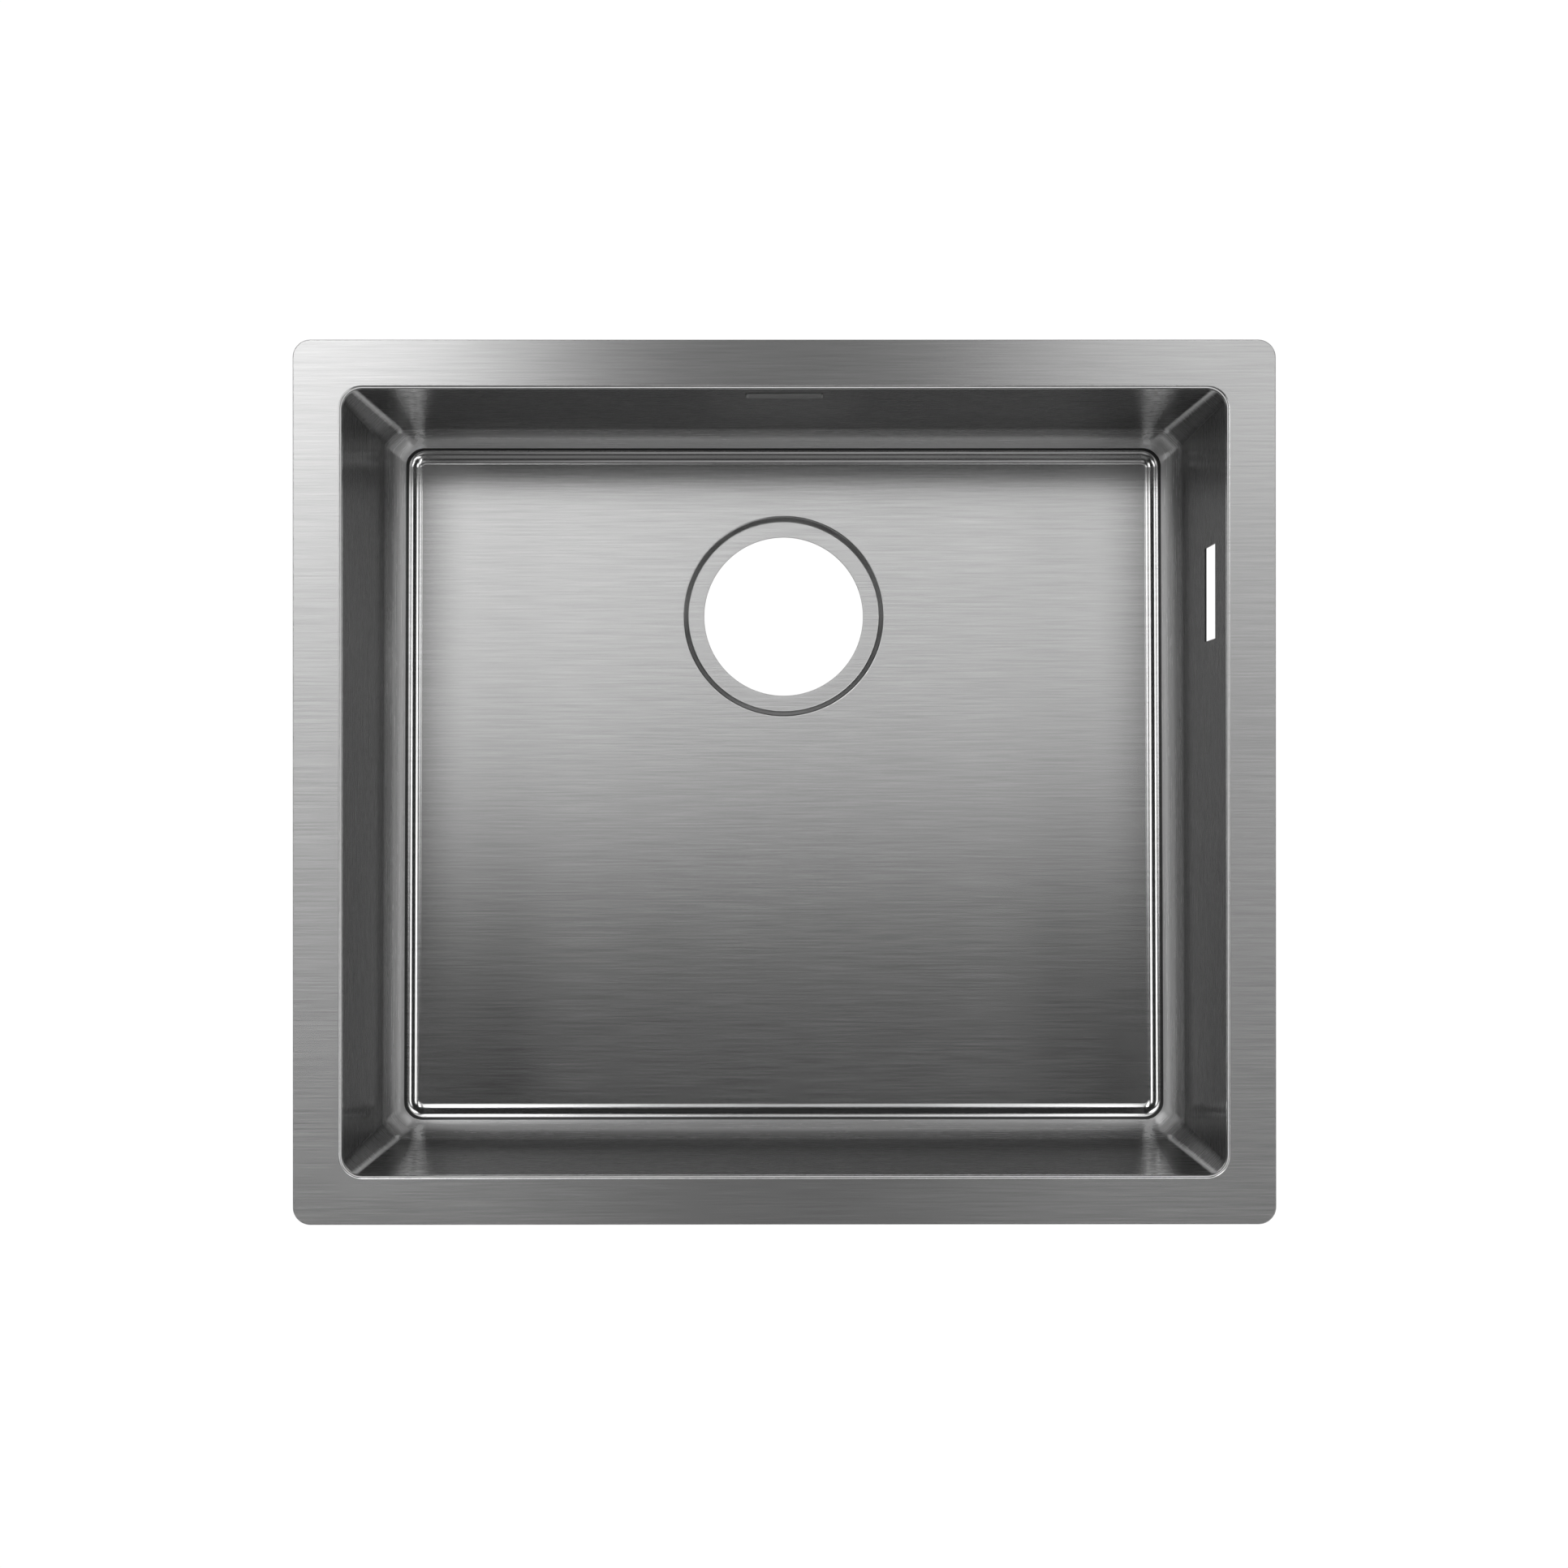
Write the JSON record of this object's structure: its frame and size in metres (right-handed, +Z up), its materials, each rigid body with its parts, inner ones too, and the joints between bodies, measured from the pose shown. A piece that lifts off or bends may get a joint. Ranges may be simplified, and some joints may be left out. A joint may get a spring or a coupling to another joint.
{
  "type": "undermount kitchen sink",
  "caption": "Single-bowl undermount kitchen sink in brushed steel, with a flat flange, a stepped floor, a waste hole, a side overflow cut-out and swing clamps.",
  "frame": {"origin": "under the middle of the sink, level with the lowest edge of the floor pads; the flange is level and the bottom falls by 1.8 degrees to the rear", "axes": "+X to the right seen from the front, towards the overflow wall; +Y to the rear wall, nearest the waste hole; +Z up, out of the bowl"},
  "size_m": [0.5, 0.45, 0.1993],
  "materials": {
    "bowl_steel": "fine brushed grain along X",
    "badge_steel": "fine brushed, bare",
    "sound_pad": "matt black butyl",
    "stud_steel": "threaded, bright",
    "tab_steel": "zinc plated",
    "washer_steel": "zinc plated",
    "nut_steel": "zinc plated, satin"
  },
  "bodies": {
    "root": {"sink_bowl": "bowl_steel", "badge_plate": "badge_steel", "pad_front": "sound_pad", "pad_rear": "sound_pad", "pad_left": "sound_pad", "pad_right": "sound_pad", "pad_floor_front": "sound_pad", "pad_floor_left": "sound_pad", "pad_floor_right": "sound_pad", "clamp_studs": "stud_steel"},
    "washer_front_left": {"washer_front_left": "washer_steel"},
    "tab_front_left": {"tab_front_left": "tab_steel"},
    "wing_nut_front_left": {"wing_nut_front_left": "nut_steel"},
    "washer_front_right": {"washer_front_right": "washer_steel"},
    "tab_front_right": {"tab_front_right": "tab_steel"},
    "wing_nut_front_right": {"wing_nut_front_right": "nut_steel"},
    "washer_rear_left": {"washer_rear_left": "washer_steel"},
    "tab_rear_left": {"tab_rear_left": "tab_steel"},
    "wing_nut_rear_left": {"wing_nut_rear_left": "nut_steel"},
    "washer_rear_right": {"washer_rear_right": "washer_steel"},
    "tab_rear_right": {"tab_rear_right": "tab_steel"},
    "wing_nut_rear_right": {"wing_nut_rear_right": "nut_steel"},
    "washer_left_front": {"washer_left_front": "washer_steel"},
    "tab_left_front": {"tab_left_front": "tab_steel"},
    "wing_nut_left_front": {"wing_nut_left_front": "nut_steel"},
    "washer_left_rear": {"washer_left_rear": "washer_steel"},
    "tab_left_rear": {"tab_left_rear": "tab_steel"},
    "wing_nut_left_rear": {"wing_nut_left_rear": "nut_steel"},
    "washer_right_front": {"washer_right_front": "washer_steel"},
    "tab_right_front": {"tab_right_front": "tab_steel"},
    "wing_nut_right_front": {"wing_nut_right_front": "nut_steel"},
    "washer_right_rear": {"washer_right_rear": "washer_steel"},
    "tab_right_rear": {"tab_right_rear": "tab_steel"},
    "wing_nut_right_rear": {"wing_nut_right_rear": "nut_steel"}
  },
  "joints": [
    {"name": "washer_slide_front_left", "type": "slide", "parent": "root", "child": "washer_front_left", "axis": [0, 0, -1], "range_m": [0, 0.0035]},
    {"name": "nut_turn_front_left", "type": "hinge", "parent": "washer_front_left", "child": "wing_nut_front_left", "pos_m": [-0.13, -0.213, 0.1898], "axis": [0, 0, -1], "range_deg": [0, 1800]},
    {"name": "tab_swing_front_left", "type": "hinge", "parent": "washer_front_left", "child": "tab_front_left", "pos_m": [-0.13, -0.213, 0.1958], "axis": [0, 0, 1], "range_deg": [0, 180]},
    {"name": "washer_slide_front_right", "type": "slide", "parent": "root", "child": "washer_front_right", "axis": [0, 0, -1], "range_m": [0, 0.0035]},
    {"name": "nut_turn_front_right", "type": "hinge", "parent": "washer_front_right", "child": "wing_nut_front_right", "pos_m": [0.13, -0.213, 0.1898], "axis": [0, 0, -1], "range_deg": [0, 1800]},
    {"name": "tab_swing_front_right", "type": "hinge", "parent": "washer_front_right", "child": "tab_front_right", "pos_m": [0.13, -0.213, 0.1958], "axis": [0, 0, -1], "range_deg": [0, 180]},
    {"name": "washer_slide_rear_left", "type": "slide", "parent": "root", "child": "washer_rear_left", "axis": [0, 0, -1], "range_m": [0, 0.0035]},
    {"name": "nut_turn_rear_left", "type": "hinge", "parent": "washer_rear_left", "child": "wing_nut_rear_left", "pos_m": [-0.13, 0.213, 0.1898], "axis": [0, 0, -1], "range_deg": [0, 1800]},
    {"name": "tab_swing_rear_left", "type": "hinge", "parent": "washer_rear_left", "child": "tab_rear_left", "pos_m": [-0.13, 0.213, 0.1958], "axis": [0, 0, -1], "range_deg": [0, 180]},
    {"name": "washer_slide_rear_right", "type": "slide", "parent": "root", "child": "washer_rear_right", "axis": [0, 0, -1], "range_m": [0, 0.0035]},
    {"name": "nut_turn_rear_right", "type": "hinge", "parent": "washer_rear_right", "child": "wing_nut_rear_right", "pos_m": [0.13, 0.213, 0.1898], "axis": [0, 0, -1], "range_deg": [0, 1800]},
    {"name": "tab_swing_rear_right", "type": "hinge", "parent": "washer_rear_right", "child": "tab_rear_right", "pos_m": [0.13, 0.213, 0.1958], "axis": [0, 0, 1], "range_deg": [0, 180]},
    {"name": "washer_slide_left_front", "type": "slide", "parent": "root", "child": "washer_left_front", "axis": [0, 0, -1], "range_m": [0, 0.0035]},
    {"name": "nut_turn_left_front", "type": "hinge", "parent": "washer_left_front", "child": "wing_nut_left_front", "pos_m": [-0.238, -0.11, 0.1898], "axis": [0, 0, -1], "range_deg": [0, 1800]},
    {"name": "tab_swing_left_front", "type": "hinge", "parent": "washer_left_front", "child": "tab_left_front", "pos_m": [-0.238, -0.11, 0.1958], "axis": [0, 0, -1], "range_deg": [0, 180]},
    {"name": "washer_slide_left_rear", "type": "slide", "parent": "root", "child": "washer_left_rear", "axis": [0, 0, -1], "range_m": [0, 0.0035]},
    {"name": "nut_turn_left_rear", "type": "hinge", "parent": "washer_left_rear", "child": "wing_nut_left_rear", "pos_m": [-0.238, 0.11, 0.1898], "axis": [0, 0, -1], "range_deg": [0, 1800]},
    {"name": "tab_swing_left_rear", "type": "hinge", "parent": "washer_left_rear", "child": "tab_left_rear", "pos_m": [-0.238, 0.11, 0.1958], "axis": [0, 0, 1], "range_deg": [0, 180]},
    {"name": "washer_slide_right_front", "type": "slide", "parent": "root", "child": "washer_right_front", "axis": [0, 0, -1], "range_m": [0, 0.0035]},
    {"name": "nut_turn_right_front", "type": "hinge", "parent": "washer_right_front", "child": "wing_nut_right_front", "pos_m": [0.238, -0.11, 0.1898], "axis": [0, 0, -1], "range_deg": [0, 1800]},
    {"name": "tab_swing_right_front", "type": "hinge", "parent": "washer_right_front", "child": "tab_right_front", "pos_m": [0.238, -0.11, 0.1958], "axis": [0, 0, 1], "range_deg": [0, 180]},
    {"name": "washer_slide_right_rear", "type": "slide", "parent": "root", "child": "washer_right_rear", "axis": [0, 0, -1], "range_m": [0, 0.0035]},
    {"name": "nut_turn_right_rear", "type": "hinge", "parent": "washer_right_rear", "child": "wing_nut_right_rear", "pos_m": [0.238, 0.11, 0.1898], "axis": [0, 0, -1], "range_deg": [0, 1800]},
    {"name": "tab_swing_right_rear", "type": "hinge", "parent": "washer_right_rear", "child": "tab_right_rear", "pos_m": [0.238, 0.11, 0.1958], "axis": [0, 0, -1], "range_deg": [0, 180]}
  ],
  "couplings": [
    {"joint": "nut_turn_front_left", "follows": "washer_slide_front_left", "rad_per_m": 8976},
    {"joint": "nut_turn_front_right", "follows": "washer_slide_front_right", "rad_per_m": 8976},
    {"joint": "nut_turn_rear_left", "follows": "washer_slide_rear_left", "rad_per_m": 8976},
    {"joint": "nut_turn_rear_right", "follows": "washer_slide_rear_right", "rad_per_m": 8976},
    {"joint": "nut_turn_left_front", "follows": "washer_slide_left_front", "rad_per_m": 8976},
    {"joint": "nut_turn_left_rear", "follows": "washer_slide_left_rear", "rad_per_m": 8976},
    {"joint": "nut_turn_right_front", "follows": "washer_slide_right_front", "rad_per_m": 8976},
    {"joint": "nut_turn_right_rear", "follows": "washer_slide_right_rear", "rad_per_m": 8976}
  ]
}
